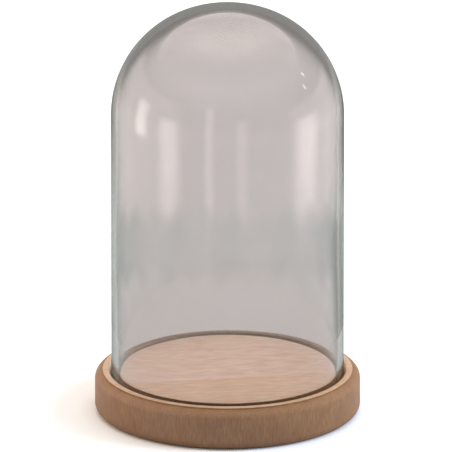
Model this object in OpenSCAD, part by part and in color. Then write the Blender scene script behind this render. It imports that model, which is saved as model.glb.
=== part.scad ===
// Bell jar dome: a blown glass dome standing in a turned groove in a round beech base.
// The base is turned from two boards glued edge to edge.
// Origin: centre of the base's underside. +Z is the turning axis, up.

/* [Glass dome] */
// Outside diameter of the glass
glass_d = 120; // [90:1:180]
// Height of the glass from rim to crown
glass_h = 201.5; // [140:0.5:320]
// Thickness of the glass at its side
glass_wall = 3.2; // [2.4:0.1:4.2]
// Thickness of the glass at the top of the crown
crown_wall = 4.4; // [4.2:0.1:6]
// How much lower the crown is than a half ball
crown_drop = 2.4; // [1.6:0.1:6]
// Radius that the flame gave both edges of the rim
rim_round = 1.0; // [0.4:0.1:1.1]

/* [Base] */
// Height of the base
base_h = 22; // [18:0.5:32]
// Radius of the edge that the base stands on
foot_round = 4.5; // [1:0.5:6]
// Radius of the rolled shoulder
shoulder_round = 4.2; // [3:0.1:7]
// Width of the shoulder, from the lip to the outer wall
shoulder_w = 3.9; // [2.4:0.1:4.8]
// Height of the small step between shoulder and lip
step_h = 0.8; // [0.4:0.1:1.4]
// Width of the flat lip outside the groove
lip_w = 3.4; // [2:0.2:8]
// Width of the edges broken with sandpaper
sanded_edge = 0.4; // [0.2:0.1:0.5]

/* [Groove] */
// Depth of the groove
groove_depth = 6.5; // [4:0.5:9]
// Gap between the glass and the raised floor inside it
floor_gap = 1.0; // [0.5:0.1:2]
// Gap between the glass and the lip outside it
lip_gap = 1.2; // [0.5:0.1:2]

/* [Glue line] */
// Distance of the glue line in front of the centre
glue_offset = 14.7; // [5:0.1:30]
// Angle of the glue line and the grain from the X axis
glue_angle = 10; // [-45:1:45]

/* [Hidden] */
$fn = 128;

// Overshoot of a cut beyond the surface that it opens
cut = 0.5;

glass_r = glass_d / 2;
inner_r = glass_r - glass_wall;
crown_rise = glass_r - crown_drop;
side_h = glass_h - crown_rise;

// The crown is two tangent arcs: the side arc's radius is this much less than the rise
arc_blend = 0.6;

floor_r = inner_r - floor_gap;
groove_r = glass_r + lip_gap;
lip_r = groove_r + lip_w;
base_r = lip_r + shoulder_w;
seat_z = base_h - groove_depth;
shoulder_z = base_h - step_h;

// Radius of the top arc that meets a side arc of radius s and a side at r, at this rise
function crown_arc(r, rise, s) =
    (pow(r - s, 2) + pow(rise, 2) - pow(s, 2)) / (2 * (rise - s));

// The waste outside a quarter circle, with the arc's centre at the origin
module corner_waste(r) {
    difference() {
        square(r + cut);
        circle(r);
    }
}

// The waste outside a flat, 45 degree edge of width w, ending at the origin's two axes
module edge_waste(w) {
    polygon([[w + cut, -cut], [w + cut, w + cut], [-cut, w + cut]]);
}

// Half section of a round-topped cylinder with its side at r and its crown above spring_z
module dome_section(r, spring_z, rise) {
    side_arc = rise - arc_blend;
    top_arc = crown_arc(r, rise, side_arc);
    meet_x = top_arc * (r - side_arc) / (top_arc - side_arc);
    square([r, spring_z]);
    translate([0, spring_z]) {
        intersection() {
            translate([0, rise - top_arc]) circle(top_arc);
            square([meet_x, rise]);
        }
        intersection() {
            translate([r - side_arc, 0]) circle(side_arc);
            translate([meet_x, 0]) square([r - meet_x, rise]);
        }
    }
}

module glass_section() {
    difference() {
        dome_section(glass_r, side_h, crown_rise);
        dome_section(inner_r, side_h, crown_rise - crown_wall);
        translate([glass_r - rim_round, rim_round]) rotate(-90) corner_waste(rim_round);
        translate([inner_r + rim_round, rim_round]) rotate(180) corner_waste(rim_round);
    }
}

module base_section() {
    difference() {
        union() {
            difference() {
                square([base_r, shoulder_z]);
                translate([base_r - foot_round, foot_round])
                    rotate(-90) corner_waste(foot_round);
                translate([base_r - shoulder_round, shoulder_z - shoulder_round])
                    corner_waste(shoulder_round);
            }
            square([lip_r, base_h]);
        }
        translate([floor_r, seat_z]) square([groove_r - floor_r, groove_depth + cut]);
        for (edge_x = [floor_r, lip_r])
            translate([edge_x - sanded_edge, base_h - sanded_edge])
                edge_waste(sanded_edge);
        translate([groove_r + sanded_edge, base_h - sanded_edge])
            rotate(90) edge_waste(sanded_edge);
    }
}

module turned_base() {
    rotate_extrude() base_section();
}

// Everything in front of the glue line
module front_side() {
    reach = base_r + cut;
    rotate([0, 0, glue_angle])
        translate([-reach, -reach, -cut])
            cube([2 * reach, reach - glue_offset, base_h + 2 * cut]);
}

module glass_dome() {
    color([0.80, 0.84, 0.83, 0.35])
        translate([0, 0, seat_z])
            rotate_extrude() glass_section();
}

module base_front_board() {
    color([0.80, 0.66, 0.53])
        intersection() {
            turned_base();
            front_side();
        }
}

module base_rear_board() {
    color([0.82, 0.69, 0.58])
        difference() {
            turned_base();
            front_side();
        }
}

glass_dome();
base_front_board();
base_rear_board();
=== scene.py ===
"""Looks for the bell jar dome: blown glass over a base turned from two beech boards."""

import math

import bmesh
import bpy
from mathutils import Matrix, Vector


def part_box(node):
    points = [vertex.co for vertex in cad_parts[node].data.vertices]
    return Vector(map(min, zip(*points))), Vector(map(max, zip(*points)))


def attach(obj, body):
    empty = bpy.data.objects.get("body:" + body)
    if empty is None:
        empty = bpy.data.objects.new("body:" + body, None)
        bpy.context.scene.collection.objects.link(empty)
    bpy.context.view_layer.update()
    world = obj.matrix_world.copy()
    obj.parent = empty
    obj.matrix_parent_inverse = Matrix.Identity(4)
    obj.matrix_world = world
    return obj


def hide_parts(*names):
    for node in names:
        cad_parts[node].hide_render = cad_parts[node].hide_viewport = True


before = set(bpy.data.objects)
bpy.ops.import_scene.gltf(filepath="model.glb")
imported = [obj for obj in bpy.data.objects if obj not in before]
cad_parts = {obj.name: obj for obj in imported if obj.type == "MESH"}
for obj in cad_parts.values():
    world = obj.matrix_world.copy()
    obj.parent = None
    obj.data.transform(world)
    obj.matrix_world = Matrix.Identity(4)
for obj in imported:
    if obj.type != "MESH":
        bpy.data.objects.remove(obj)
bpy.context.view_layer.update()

MM = 0.001

# ---------------------------------------------------------------- sizes

# From the frame. Its solids are faceted, so radii are rounded to a tenth of a millimetre
glass_low, glass_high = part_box("glass_dome")
base_low, base_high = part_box("base_rear_board")

GLASS_R = round(glass_high.x, 4)
RIM_Z = glass_low.z
CROWN_Z = glass_high.z
BASE_R = round(base_high.x, 4)
BASE_H = base_high.z

# The rest of the glass's section, as the part's source has it
SIDE_WALL = 3.2 * MM
CROWN_WALL = 4.4 * MM
CROWN_DROP = 2.4 * MM
ARC_BLEND = 0.6 * MM
RIM_ROUND = 1.0 * MM

# The rest of the base's turned section, as the part's source has it
FLOOR_GAP = 1.0 * MM
LIP_GAP = 1.2 * MM
LIP_W = 3.4 * MM
STEP_H = 0.8 * MM
SHOULDER_ROUND = 4.2 * MM
FOOT_ROUND = 4.5 * MM
SANDED_EDGE = 0.4 * MM

FLOOR_R = GLASS_R - SIDE_WALL - FLOOR_GAP
GROOVE_R = GLASS_R + LIP_GAP
LIP_R = GROOVE_R + LIP_W

# The glue line between the boards, and the way the grain runs
GLUE_ANGLE = math.radians(10)
GLUE_OFFSET = 14.7 * MM

# How many steps each curve is made of
SPIN_STEPS = 256
CROWN_STEPS = 40
SIDE_STEPS = 24
RIM_STEPS = 8
FOOT_STEPS = 16
SHOULDER_STEPS = 20
EDGE_STEPS = 5

# Points nearer to each other than this are one point
SAME_SPOT = 1e-6

# A Mix node's colour sockets share their names with its other sockets, so they go by number
MIX_A, MIX_B, MIX_COLOUR = 6, 7, 2


# ---------------------------------------------------------------- helpers


def linear(hex_colour):
    """An sRGB hex colour as linear red, green, blue and alpha."""
    channels = [int(hex_colour[i : i + 2], 16) / 255 for i in (1, 3, 5)]
    return [
        c / 12.92 if c <= 0.04045 else ((c + 0.055) / 1.055) ** 2.4 for c in channels
    ] + [1.0]


def add(tree, kind, inputs=None, stops=(), **settings):
    """Adds one node. inputs are values or the sockets to link, and stops a ramp's two ends."""
    made = tree.nodes.new(kind)
    for name, value in settings.items():
        setattr(made, name, value)
    for key, value in (inputs or {}).items():
        if isinstance(value, bpy.types.NodeSocket):
            tree.links.new(value, made.inputs[key])
        else:
            made.inputs[key].default_value = value
    for index, (place, hex_colour) in enumerate(stops):
        made.color_ramp.elements[index].position = place
        made.color_ramp.elements[index].color = linear(hex_colour)
    return made


def new_material(name):
    """An empty node material, its tree and its output node."""
    material = bpy.data.materials.new(name)
    material.use_nodes = True
    tree = material.node_tree
    tree.nodes.clear()
    return material, tree, tree.nodes.new("ShaderNodeOutputMaterial")


def arc(centre_r, centre_z, radius, start_deg, end_deg, steps):
    """Points along an arc of a section, from start to end."""
    sweep = end_deg - start_deg
    turns = [math.radians(start_deg + sweep * i / steps) for i in range(steps + 1)]
    return [(centre_r + radius * math.cos(a), centre_z + radius * math.sin(a)) for a in turns]


def without_repeats(section):
    """The section's points, less any that sit on the one before."""
    kept = [section[0]]
    for r, z in section[1:]:
        if math.hypot(r - kept[-1][0], z - kept[-1][1]) > SAME_SPOT:
            kept.append((r, z))
    return kept


def spin(section, steps=SPIN_STEPS, wander=None):
    """The section turned about the axis. wander may move each point a little."""
    mesh = bmesh.new()
    rings = []
    for index, (r, z) in enumerate(section):
        if r < SAME_SPOT:
            rings.append([mesh.verts.new((0, 0, z))])
            continue
        ring = []
        for step in range(steps):
            a = 2 * math.pi * step / steps
            here_r, here_z = wander(index, r, z, a) if wander else (r, z)
            ring.append(mesh.verts.new((here_r * math.cos(a), here_r * math.sin(a), here_z)))
        rings.append(ring)
    for lower, upper in zip(rings, rings[1:]):
        for step in range(steps):
            following = (step + 1) % steps
            corners = [lower[step % len(lower)], lower[following % len(lower)]]
            corners += [upper[following % len(upper)], upper[step % len(upper)]]
            mesh.faces.new(list(dict.fromkeys(corners)))
    bmesh.ops.recalc_face_normals(mesh, faces=mesh.faces)
    return mesh


def finish_mesh(name, mesh, sharp_deg):
    """Makes the object, smooth except where two faces meet at more than sharp_deg."""
    for face in mesh.faces:
        face.smooth = True
    for edge in mesh.edges:
        edge.smooth = edge.calc_face_angle(0) < math.radians(sharp_deg)
    data = bpy.data.meshes.new(name)
    mesh.to_mesh(data)
    mesh.free()
    piece = bpy.data.objects.new(name, data)
    bpy.context.scene.collection.objects.link(piece)
    return piece


# ---------------------------------------------------------------- blown glass dome

# The waves on the inside of the glass: how many run round it, how far each turns on its way
# up, how strong it is, and where it starts
WAVES = [(2, 5.1, 1.0, 0.4), (3, -7.3, 0.6, 2.0), (5, 11.0, 0.4, 1.1)]
WAVE_DEPTH = 0.1 * MM

# They die out over this share of the height above the rim, and within this radius at the top
CALM_RIM = 1 / 6
CALM_CROWN = GLASS_R / 2

# The glass's colour where the eye looks through its face and along its wall
GLASS_FACE = "#E8E5E4"
GLASS_EDGE = "#98A59D"

# Its green body, and how much light that loses, per metre
GREEN_BODY = "#A8C0B4"
GLASS_LOSS = 44.0


def dome_curve(radius, spring_z, rise):
    """The crown of one face of the glass, from its spring line up to the axis."""
    side_arc = rise - ARC_BLEND
    reach = radius - side_arc
    top_arc = (reach**2 + rise**2 - side_arc**2) / (2 * (rise - side_arc))
    drop = top_arc - rise
    meet = math.degrees(math.atan2(drop, reach))
    lower = arc(reach, spring_z, side_arc, 0, meet, CROWN_STEPS)
    upper = arc(0, spring_z - drop, top_arc, meet, 90, CROWN_STEPS)
    return lower + upper[1:-1] + [(0.0, spring_z + rise)]


def glass_section():
    """From the crown's top down the outside, round the rim, and up the inside to the crown.

    The number that comes with it is the last point that isn't on the inside.
    """
    rise = GLASS_R - CROWN_DROP
    spring_z = CROWN_Z - rise
    inner_r = GLASS_R - SIDE_WALL
    rim_top = RIM_Z + RIM_ROUND
    side_h = spring_z - rim_top
    heights = [rim_top + side_h * i / SIDE_STEPS for i in range(1, SIDE_STEPS)]
    outer = dome_curve(GLASS_R, spring_z, rise)[::-1]
    outer += [(GLASS_R, z) for z in reversed(heights)]
    rim = arc(GLASS_R - RIM_ROUND, rim_top, RIM_ROUND, 0, -90, RIM_STEPS)
    last_outside = len(outer) + len(rim)
    rim += arc(inner_r + RIM_ROUND, rim_top, RIM_ROUND, -90, -180, RIM_STEPS)
    inner = [(inner_r, z) for z in heights]
    inner += dome_curve(inner_r, spring_z, rise - CROWN_WALL)
    return without_repeats(outer + rim + inner), last_outside


def make_glass():
    """One blown shell, open at the bottom, with a fire-polished rim."""
    section, last_outside = glass_section()
    height = CROWN_Z - RIM_Z

    def blown(index, r, z, a):
        """The inside of blown glass wanders a little, by less than a tenth of its wall."""
        if index <= last_outside:
            return r, z
        up = (z - RIM_Z) / height
        calm = min(1.0, max(0.0, up / CALM_RIM)) * min(1.0, r / CALM_CROWN)
        wave = sum(
            strength * math.sin(count * a + climb * up + start)
            for count, climb, strength, start in WAVES
        )
        return r + WAVE_DEPTH * wave * calm, z

    mesh = spin(section, wander=blown)
    return finish_mesh("glass_dome_blown", mesh, sharp_deg=50)


def blown_glass():
    """Soda-lime glass, blown and fire-polished: mirror smooth, with a faint green body.

    A little light is lost in its thickness, so the eye gets a clear side with soft mirrored
    windows, and darker grey-green bands where it looks along the wall. The real glass has next
    to no grey of its own: the grey tint here stands for a dim room behind it, because this
    studio is white. Light from the lamps goes straight through, so that the wood inside is lit.
    """
    material, tree, out = new_material("blown_soda_lime_glass")
    slant = add(tree, "ShaderNodeLayerWeight", {"Blend": 0.5})
    tint = add(
        tree,
        "ShaderNodeValToRGB",
        {"Fac": slant.outputs["Facing"]},
        stops=[(0.6, GLASS_FACE), (0.95, GLASS_EDGE)],
    )
    glass = add(
        tree,
        "ShaderNodeBsdfGlass",
        {"Color": tint.outputs["Color"], "Roughness": 0.0, "IOR": 1.5},
    )
    clear = add(tree, "ShaderNodeBsdfTransparent", {"Color": linear("#FFFFFF")})
    path = add(tree, "ShaderNodeLightPath")
    lamplight = add(
        tree,
        "ShaderNodeMath",
        {0: path.outputs["Is Shadow Ray"], 1: path.outputs["Is Diffuse Ray"]},
        operation="MAXIMUM",
    )
    surface = add(
        tree,
        "ShaderNodeMixShader",
        {0: lamplight.outputs[0], 1: glass.outputs[0], 2: clear.outputs[0]},
    )
    body = add(
        tree,
        "ShaderNodeVolumeAbsorption",
        {"Color": linear(GREEN_BODY), "Density": GLASS_LOSS},
    )
    tree.links.new(surface.outputs[0], out.inputs["Surface"])
    tree.links.new(body.outputs[0], out.inputs["Volume"])
    return material


# ---------------------------------------------------------------- turned beech base

# A skin this thick counts as part of a planed or turned face
PLANED_SKIN = 0.1 * MM

# The turned side's two browns: browner grain of its own, darkened further by painted shade
SHADED_SIDE_BROWN = "#715031"
SHADED_SIDE_TAN = "#7B5A3A"

# What streaks and pores do to the colour under them
STREAK_SHADE = "#E8DED6"
PORE_SHADE = "#DAD2CA"

# How much darker the open lip is drawn than the floor, which only shows through tinted glass
LIP_SHADE = "#C8C5B8"

# The groove's walls: painted light on the lip's wall, painted shade on the floor's wall
LIP_WALL_PAINTED_LIGHT = "#E6C4A8"
FLOOR_WALL_PAINTED_SHADE = "#6B4C33"


def base_section():
    """From the underside's centre out, up the wall, over the lip, groove and floor."""
    shoulder_z = BASE_H - STEP_H
    shoulder_c = (BASE_R - SHOULDER_ROUND, shoulder_z - SHOULDER_ROUND)
    step_deg = math.degrees(math.acos((LIP_R - shoulder_c[0]) / SHOULDER_ROUND))
    soft = SANDED_EDGE
    section = [(BASE_R * share, 0.0) for share in (0.0, 0.25, 0.5, 0.75)]
    section += arc(BASE_R - FOOT_ROUND, FOOT_ROUND, FOOT_ROUND, -90, 0, FOOT_STEPS)
    section += arc(*shoulder_c, SHOULDER_ROUND, 0, step_deg, SHOULDER_STEPS)
    section += arc(LIP_R - soft, BASE_H - soft, soft, 0, 90, EDGE_STEPS)
    section += arc(GROOVE_R + soft, BASE_H - soft, soft, 90, 180, EDGE_STEPS)
    section += [(GROOVE_R, RIM_Z), (FLOOR_R, RIM_Z)]
    section += arc(FLOOR_R - soft, BASE_H - soft, soft, 0, 90, EDGE_STEPS)
    section += [(FLOOR_R * share, BASE_H) for share in (0.8, 0.6, 0.4, 0.2, 0.0)]
    return without_repeats(section)


def make_board(name, front):
    """One board: the whole turned base, cut at the glue line."""
    mesh = spin(base_section())
    across = Vector((-math.sin(GLUE_ANGLE), math.cos(GLUE_ANGLE), 0))
    cut = bmesh.ops.bisect_plane(
        mesh,
        geom=mesh.verts[:] + mesh.edges[:] + mesh.faces[:],
        plane_co=-across * GLUE_OFFSET,
        plane_no=across,
        clear_outer=front,
        clear_inner=not front,
    )
    rim = [item for item in cut["geom_cut"] if isinstance(item, bmesh.types.BMEdge)]
    bmesh.ops.holes_fill(mesh, edges=rim)
    bmesh.ops.recalc_face_normals(mesh, faces=mesh.faces)
    return finish_mesh(name, mesh, sharp_deg=30)


def planed_face(tree, bands, streaks, face_hex, streak_hex):
    """The flat face's colour: broad bands of the year's growth under short streaks."""
    growth = add(
        tree,
        "ShaderNodeValToRGB",
        {"Fac": bands},
        stops=[(0.2, face_hex), (0.8, streak_hex)],
    )
    shade = add(
        tree,
        "ShaderNodeValToRGB",
        {"Fac": streaks},
        stops=[(0.35, "#FFFFFF"), (0.65, STREAK_SHADE)],
    )
    face = add(
        tree,
        "ShaderNodeMix",
        {"Factor": 1.0, MIX_A: growth.outputs["Color"], MIX_B: shade.outputs["Color"]},
        data_type="RGBA",
        blend_type="MULTIPLY",
    )
    return face.outputs[MIX_COLOUR]


def shaded_turned_side(tree, blotches, pores):
    """The turned side's colour: upright pore lines over a blotchy brown with painted shade."""
    brown = add(
        tree,
        "ShaderNodeValToRGB",
        {"Fac": blotches},
        stops=[(0.3, SHADED_SIDE_BROWN), (0.7, SHADED_SIDE_TAN)],
    )
    shade = add(
        tree,
        "ShaderNodeValToRGB",
        {"Fac": pores},
        stops=[(0.3, "#FFFFFF"), (0.75, PORE_SHADE)],
    )
    side = add(
        tree,
        "ShaderNodeMix",
        {"Factor": 1.0, MIX_A: brown.outputs["Color"], MIX_B: shade.outputs["Color"]},
        data_type="RGBA",
        blend_type="MULTIPLY",
    )
    return side.outputs[MIX_COLOUR]


def colour_by_place(tree, place, face, side):
    """Lays the face's colour on what is planed and the side's on what is turned."""
    # How far each spot lies from the turning axis, and how high
    flat_place = add(
        tree,
        "ShaderNodeVectorMath",
        {0: place, 1: (1, 1, 0)},
        operation="MULTIPLY",
    )
    radius = add(tree, "ShaderNodeVectorMath", {0: flat_place.outputs[0]}, operation="LENGTH")
    height = add(tree, "ShaderNodeSeparateXYZ", {0: place})

    # The lip is drawn darker than the floor, to make up for the tint of the glass over the floor
    in_the_open = add(
        tree,
        "ShaderNodeMath",
        {0: radius.outputs["Value"], 1: GLASS_R},
        operation="GREATER_THAN",
    )
    planed = add(
        tree,
        "ShaderNodeMix",
        {"Factor": in_the_open.outputs[0], MIX_A: face, MIX_B: linear(LIP_SHADE)},
        data_type="RGBA",
        blend_type="MULTIPLY",
    )

    # Between the planed top and underside everything is turned
    turned = add(
        tree,
        "ShaderNodeMath",
        {0: height.outputs["Z"], 1: BASE_H / 2, 2: BASE_H / 2 - PLANED_SKIN},
        operation="COMPARE",
    )
    shown = add(
        tree,
        "ShaderNodeMix",
        {"Factor": turned.outputs[0], MIX_A: planed.outputs[MIX_COLOUR], MIX_B: side},
        data_type="RGBA",
    )

    # In the groove: painted light on the lip's wall, painted shade on the floor's wall and
    # bottom
    for cut_r, within, painted_hex in (
        (GROOVE_R, PLANED_SKIN, LIP_WALL_PAINTED_LIGHT),
        (FLOOR_R + FLOOR_GAP, FLOOR_GAP + PLANED_SKIN, FLOOR_WALL_PAINTED_SHADE),
    ):
        on_cut = add(
            tree,
            "ShaderNodeMath",
            {0: radius.outputs["Value"], 1: cut_r, 2: within},
            operation="COMPARE",
        )
        under = shown.outputs[MIX_COLOUR]
        shown = add(
            tree,
            "ShaderNodeMix",
            {"Factor": on_cut.outputs[0], MIX_A: under, MIX_B: linear(painted_hex)},
            data_type="RGBA",
        )
    return shown.outputs[MIX_COLOUR]


def beech(name, face_hex, streak_hex, shift):
    """Bare steamed beech, planed, turned and sanded, with a matt face.

    The flat faces are pale and pinkish, with short fine streaks along the board. The turned
    sides cut through the fibres and take up more light, so they are browner, with upright
    pore lines; their brown also holds painted shade, for a wall that the lights miss.
    To show at all, streaks are drawn about three times their real width, and pores about ten
    times. shift moves the grain, so that no two boards are alike.
    """
    material, tree, out = new_material(name)
    place = add(tree, "ShaderNodeTexCoord").outputs["Object"]
    along = add(
        tree,
        "ShaderNodeMapping",
        {"Vector": place, "Rotation": (0, 0, -GLUE_ANGLE), "Location": (shift, shift, 0)},
    )

    def grain(length_mm, width_mm, height_mm, detail):
        """Noise with features about this long along the board, this wide and this high."""
        stretched = add(
            tree,
            "ShaderNodeVectorMath",
            {
                0: along.outputs[0],
                1: [1 / (size * MM) for size in (length_mm, width_mm, height_mm)],
            },
            operation="MULTIPLY",
        )
        noise = add(
            tree,
            "ShaderNodeTexNoise",
            {"Vector": stretched.outputs[0], "Scale": 1.0, "Detail": detail},
        )
        return noise.outputs["Fac"]

    streaks = grain(8, 1.2, 1.2, 3)
    face = planed_face(tree, grain(70, 12, 12, 1), streaks, face_hex, streak_hex)
    side = shaded_turned_side(tree, grain(7, 7, 10, 3), grain(0.7, 0.7, 5, 2))
    relief = add(
        tree,
        "ShaderNodeBump",
        {"Strength": 0.25, "Distance": 0.1 * MM, "Height": streaks},
    )
    wood = add(
        tree,
        "ShaderNodeBsdfPrincipled",
        {
            "Base Color": colour_by_place(tree, place, face, side),
            "Roughness": 0.62,
            "IOR": 1.45,
            "Normal": relief.outputs[0],
        },
    )
    tree.links.new(wood.outputs[0], out.inputs["Surface"])
    return material


# ---------------------------------------------------------------- pieces

glass = make_glass()
glass.data.materials.append(blown_glass())
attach(glass, "dome")
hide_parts("glass_dome")

front_board = make_board("base_front_board_turned", True)
front_board.data.materials.append(beech("beech_front_board", "#E0BDA2", "#DAB497", 0.31))
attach(front_board, "base")
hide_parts("base_front_board")

rear_board = make_board("base_rear_board_turned", False)
rear_board.data.materials.append(beech("beech_rear_board", "#E4C5B3", "#DEBCA7", 0.83))
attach(rear_board, "base")
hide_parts("base_rear_board")


# ---------------------------------------------------------------- what the glass mirrors

# The tent, in metres: its radius, the height of its wall up to its domed roof, and the hole
# in its floor round the base
TENT_R = 0.46
TENT_WALL = 0.5
TENT_HOLE = 0.16

# How many steps its floor, wall and roof have, and how many run round it
TENT_FLOOR_STEPS = 40
TENT_WALL_STEPS = 50
TENT_ROOF_STEPS = 30
TENT_ROUND_STEPS = 480

# Each span from here on is its middle, the distance from there over which it holds in full,
# and the soft distance beyond. Lengths are in metres, and azimuths in degrees from the front

# The fabric: how brightly each part glows, and where
FLOOR_GLOW = 1.25
WALL_GLOW = 1.7
WALL_SPAN = (TENT_WALL, 0.4, 0.1)
ROOF_GLOW = 3.0
ROOF_SPAN = (TENT_WALL + TENT_R, 0.4, 0.3)
BACK_GLOW = 1.0
BACK_SPAN = (0, 0.41, 0.1)
BACK_ARC = (180, 35, 40)
PINK_WHITE = (1.0, 0.9, 0.89)

# The soft panel on the roof: how far behind the middle it hangs, its glow and its span
PANEL_BACK = 0.18
PANEL_GLOW = 2.8
PANEL_SPAN = (0, 0.22, 0.28)

# Its windows: azimuth and half width in degrees, bottom and top in metres, and their glow
WINDOWS = [
    (-92, 42, 0.01, 0.32, 1.3),
    (97, 36, 0.01, 0.24, 1.5),
    (-89, 7, 0.08, 0.22, 5.8),
    (-56, 10, 0.02, 0.18, 4.6),
    (-17, 4, 0.00, 0.33, 2.5),
    (13, 5, 0.00, 0.22, 1.8),
    (80, 12, 0.02, 0.15, 4.9),
    (100, 1, 0.40, 0.418, 9.0),
    (91, 1, 0.34, 0.356, 9.0),
]

# The windows' soft edges: how wide at the most, beside and above them, and how much of a side
# edge lies inside the window and in all
SIDE_EDGE = 12
TOP_EDGE = 0.06
EDGE_INSIDE = 0.8
EDGE_IN_ALL = 1.5

# How far the windows' light spills over the floor
SPILL = 0.13

# The black flag that lies on the floor, on the right behind the base
FLAG_DIMS = 0.6
FLAG_ARC = (132, 8, 12)
FLAG_SPAN = (0, 0.33, 0.06)

# The green cloth on the floor in front: its middle, how much nearer that lies at its ends, its
# width, its wavy hem and its worn patches
GREEN_CLOTH = (0.0, 0.38, 0.28)
CLOTH_ARC = (0, 115, 20)
CLOTH_R = 0.385
CLOTH_BOW = 0.06
CLOTH_HALF = 0.03
CLOTH_SOFT = 0.05
HEM_DEPTH = 0.008
HEM_WAVES = 14
WEAR = 0.2
WEAR_WAVES = 7.2


def swell(value, middle, half, soft):
    """1 within half of the middle, falling smoothly to 0 over the soft distance outside it."""
    share = min(1.0, max(0.0, (half + soft - abs(value - middle)) / soft))
    return share * share * (3 - 2 * share)


def wall_glow(azimuth, z):
    """How bright the tent is on its wall and roof: dimmer behind, brighter in its windows."""
    light = FLOOR_GLOW + (WALL_GLOW - FLOOR_GLOW) * swell(z, *WALL_SPAN)
    light += (ROOF_GLOW - WALL_GLOW) * swell(z, *ROOF_SPAN)
    light += (BACK_GLOW - light) * swell(azimuth % 360, *BACK_ARC) * swell(z, *BACK_SPAN)
    for middle, half, bottom, top, bright in WINDOWS:
        edge = min(half, SIDE_EDGE)
        across = swell(azimuth, middle, half - edge * EDGE_INSIDE, edge * EDGE_IN_ALL)
        tall = top - bottom
        upright = swell(z, (bottom + top) / 2, tall / 2, min(TOP_EDGE, tall))
        light += bright * across * upright
    return [light * channel for channel in PINK_WHITE]


def floor_glow(azimuth, r):
    """The tent's floor: light spilt by the windows, the green cloth and the black flag."""
    a = math.radians(azimuth)
    spill = swell(r, TENT_R, 0, SPILL)
    bare = [FLOOR_GLOW + (foot - FLOOR_GLOW) * spill for foot in wall_glow(azimuth, 0)]
    middle = CLOTH_R - CLOTH_BOW * (azimuth / CLOTH_ARC[1]) ** 2
    middle += HEM_DEPTH * math.sin(HEM_WAVES * a)
    cover = 1 - WEAR + WEAR * math.cos(WEAR_WAVES * a)
    cover *= swell(r, middle, CLOTH_HALF, CLOTH_SOFT) * swell(azimuth, *CLOTH_ARC)
    left = 1 - FLAG_DIMS * swell(azimuth, *FLAG_ARC) * swell(r, *FLAG_SPAN)
    return [
        (light + (channel - light) * cover) * left for light, channel in zip(bare, GREEN_CLOTH)
    ]


def tent_glow(x, y, z):
    """The colour and strength of the glow at one spot of the tent."""
    azimuth = math.degrees(math.atan2(x, -y))
    r = math.hypot(x, y)
    if z < 2 * MM and r < TENT_R - MM:
        return floor_glow(azimuth, r)
    glow = wall_glow(azimuth, z)
    if z < TENT_WALL:
        return glow
    panel = PANEL_GLOW * swell(math.hypot(x, y - PANEL_BACK), *PANEL_SPAN)
    return [light + panel * channel for light, channel in zip(glow, PINK_WHITE)]


def light_tent():
    """A fabric tent round the dome, with brighter windows. Only mirrored light meets it."""
    material, tree, out = new_material("lit_tent_fabric")
    painted = add(tree, "ShaderNodeAttribute", attribute_name="glow")
    fabric = add(
        tree,
        "ShaderNodeEmission",
        {"Color": painted.outputs["Color"], "Strength": 1.0},
    )
    tree.links.new(fabric.outputs[0], out.inputs["Surface"])

    floor_w = TENT_R - TENT_HOLE
    section = [
        (TENT_HOLE + floor_w * i / TENT_FLOOR_STEPS, MM) for i in range(TENT_FLOOR_STEPS)
    ]
    section += [
        (TENT_R, MM + TENT_WALL * i / TENT_WALL_STEPS) for i in range(TENT_WALL_STEPS + 1)
    ]
    section += arc(0, TENT_WALL, TENT_R, 0, 90, TENT_ROOF_STEPS)[1:-1]
    section += [(0.0, TENT_WALL + TENT_R)]
    tent = finish_mesh("light_tent", spin(section, TENT_ROUND_STEPS), sharp_deg=60)
    glow = tent.data.color_attributes.new("glow", "FLOAT_COLOR", "POINT")
    for vertex, spot in zip(tent.data.vertices, glow.data):
        spot.color = (*tent_glow(*vertex.co), 1.0)
    tent.data.materials.append(material)
    tent.visible_camera = False
    tent.visible_diffuse = False
    tent.visible_transmission = False
    tent.visible_shadow = False


# ---------------------------------------------------------------- floor, light and camera

# The studio floor's radius, in metres
STUDIO_R = 6.0

# The height that the soft lights aim at
LIGHT_AIM_Z = 0.1

# The camera: how far down it looks, how far away it stands, how wide a field it takes in at
# that distance, and the spot that it aims at
VIEW_DOWN = math.radians(18.05)
CAMERA_FAR = 8.0
FIELD_WIDTH = 232.8 * MM
AIM_X = -0.8 * MM
AIM_Z = 99.2 * MM
SIGHT_LIMIT = 20.0


def pale_floor():
    """A plain matt white board, big enough to fill any view."""
    material, tree, out = new_material("matt_white_board")
    paint = add(
        tree,
        "ShaderNodeBsdfDiffuse",
        {"Color": linear("#F4F4F3"), "Roughness": 0.5},
    )
    tree.links.new(paint.outputs[0], out.inputs["Surface"])
    mesh = bmesh.new()
    bmesh.ops.create_circle(mesh, cap_ends=True, radius=STUDIO_R, segments=96)
    floor = finish_mesh("floor", mesh, sharp_deg=30)
    floor.data.materials.append(material)


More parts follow.
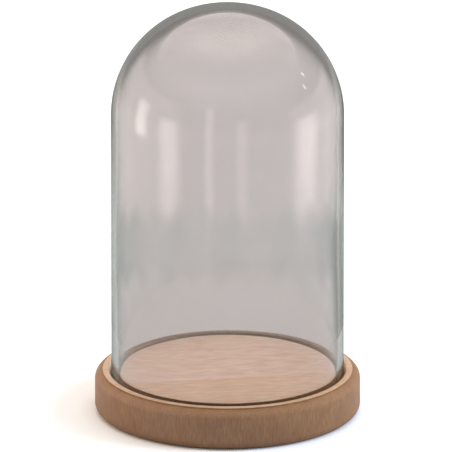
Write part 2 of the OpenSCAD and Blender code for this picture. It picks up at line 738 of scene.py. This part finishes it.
def soft_light(name, azimuth_deg, up_deg, distance, width, height, power, tint="#FFFFFF"):
    """A rectangular soft light that faces the dome. Azimuth 0 is the camera's side.

    The glass mirrors the tent and not this light, so no hard rectangle lies on it.
    """
    data = bpy.data.lights.new(name, "AREA")
    data.shape = "RECTANGLE"
    data.size, data.size_y = width, height
    data.energy = power
    data.color = linear(tint)[:3]
    lamp = bpy.data.objects.new(name, data)
    bpy.context.scene.collection.objects.link(lamp)
    a, e = math.radians(azimuth_deg), math.radians(up_deg)
    away = Vector((math.sin(a) * math.cos(e), -math.cos(a) * math.cos(e), math.sin(e)))
    lamp.location = Vector((0, 0, LIGHT_AIM_Z)) + away * distance
    lamp.rotation_euler = away.to_track_quat("Z", "Y").to_euler()
    lamp.visible_glossy = False
    lamp.visible_transmission = False


def soft_sky():
    """Even light from all round."""
    world = bpy.data.worlds.new("studio")
    bpy.context.scene.world = world
    world.use_nodes = True
    tree = world.node_tree
    tree.nodes.clear()
    sky = add(tree, "ShaderNodeBackground", {"Color": linear("#F2F3F5"), "Strength": 0.55})
    add(tree, "ShaderNodeOutputWorld", {"Surface": sky.outputs[0]})


def set_camera():
    """The camera in front of the dome, looking down at it, far off with a long lens."""
    camera = bpy.data.objects.new("camera", bpy.data.cameras.new("camera"))
    bpy.context.scene.collection.objects.link(camera)
    camera.data.lens = camera.data.sensor_width * CAMERA_FAR / FIELD_WIDTH
    camera.data.clip_end = SIGHT_LIMIT
    away = Vector((0, -math.cos(VIEW_DOWN), math.sin(VIEW_DOWN)))
    camera.location = Vector((AIM_X, 0, AIM_Z)) + away * CAMERA_FAR
    camera.rotation_euler = away.to_track_quat("Z", "Y").to_euler()
    bpy.context.scene.camera = camera


pale_floor()
light_tent()
soft_light(
    "overhead_softbox",
    azimuth_deg=180,
    up_deg=78,
    distance=1.6,
    width=1.6,
    height=1.6,
    power=22,
)
soft_light(
    "left_softbox",
    azimuth_deg=-95,
    up_deg=25,
    distance=1.3,
    width=0.7,
    height=0.9,
    power=9,
    tint="#FFD6AE",
)
soft_light(
    "right_softbox",
    azimuth_deg=88,
    up_deg=25,
    distance=1.3,
    width=0.7,
    height=0.9,
    power=23,
    tint="#D6E5FF",
)
soft_sky()
set_camera()
bpy.context.scene.view_settings.view_transform = "Standard"
